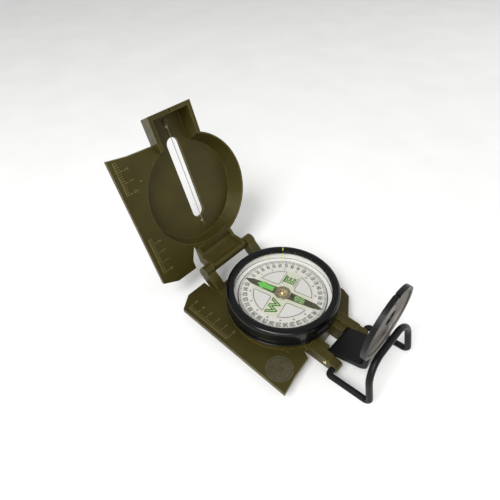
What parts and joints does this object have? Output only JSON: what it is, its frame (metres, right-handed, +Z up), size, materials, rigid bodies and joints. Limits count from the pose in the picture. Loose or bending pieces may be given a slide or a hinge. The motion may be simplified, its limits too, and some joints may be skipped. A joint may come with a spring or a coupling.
{
  "type": "sighting compass",
  "caption": "Folding pocket sighting compass with hinged lid and sighting wire, rotating bezel, lens bracket, thumb loop and straight ruler edge.",
  "frame": {"origin": "centre of the round foot's underside, on the dial's axis", "axes": "+Z up out of the dial, -Y towards the ruler edge, +X towards the lens bracket and thumb loop"},
  "size_m": [0.1298, 0.0614, 0.0834],
  "materials": {
    "olive_paint": "satin olive-drab paint on a die casting",
    "black_metal": "satin black",
    "bezel_black": "glossy black anodised",
    "black_wire": "semi-gloss black coated wire",
    "capsule_white": "matt white",
    "dial_card": "matt pale card with printed scales",
    "needle_olive": "thin satin olive paint on magnet steel",
    "luminous": "luminous green paint",
    "clear_glass": "clear",
    "brass": "polished",
    "pin_steel": "bright",
    "seal_rubber": "matt black",
    "jewel": "polished synthetic ruby"
  },
  "bodies": {
    "base": {"base_body": "olive_paint", "capsule_cup": "capsule_white", "capsule_seal": "seal_rubber", "capsule_window": "clear_glass", "pivot_post": "pin_steel", "bezel_retainer": "pin_steel", "lid_hinge_pin": "brass", "lens_hinge_pin": "brass"},
    "lid": {"lid_shell": "olive_paint", "sighting_wire": "pin_steel", "wire_plugs": "pin_steel", "sight_dots": "luminous"},
    "lens_arm": {"lens_bracket": "black_metal", "sighting_lens": "clear_glass", "lens_ring": "black_metal"},
    "loop": {"thumb_loop": "black_wire"},
    "bezel": {"bezel_ring": "bezel_black", "bezel_glass": "clear_glass", "bezel_snap_ring": "pin_steel", "index_line": "luminous"},
    "card": {"compass_card": "dial_card", "magnet_needle": "needle_olive", "north_arrow": "luminous", "card_hub": "brass", "jewel_bearing": "jewel"}
  },
  "joints": [
    {"name": "lid_hinge", "type": "hinge", "parent": "base", "child": "lid", "pos_m": [-0.0353, 0, 0.015], "axis": [0, -1, 0], "range_deg": [-110.1, 69.9]},
    {"name": "lens_hinge", "type": "hinge", "parent": "base", "child": "lens_arm", "pos_m": [0.0332, 0, 0.0076], "axis": [0, 1, 0], "range_deg": [-90, 0]},
    {"name": "loop_hinge", "type": "hinge", "parent": "base", "child": "loop", "pos_m": [0.0372, 0, 0.007], "axis": [0, -1, 0], "range_deg": [-110, 0]},
    {"name": "bezel_turn", "type": "hinge", "parent": "base", "child": "bezel", "pos_m": [0, 0, 0.0152], "axis": [0, 0, 1], "continuous": true},
    {"name": "card_turn", "type": "hinge", "parent": "base", "child": "card", "pos_m": [0, 0, 0.0146], "axis": [0, 0, 1], "continuous": true}
  ]
}
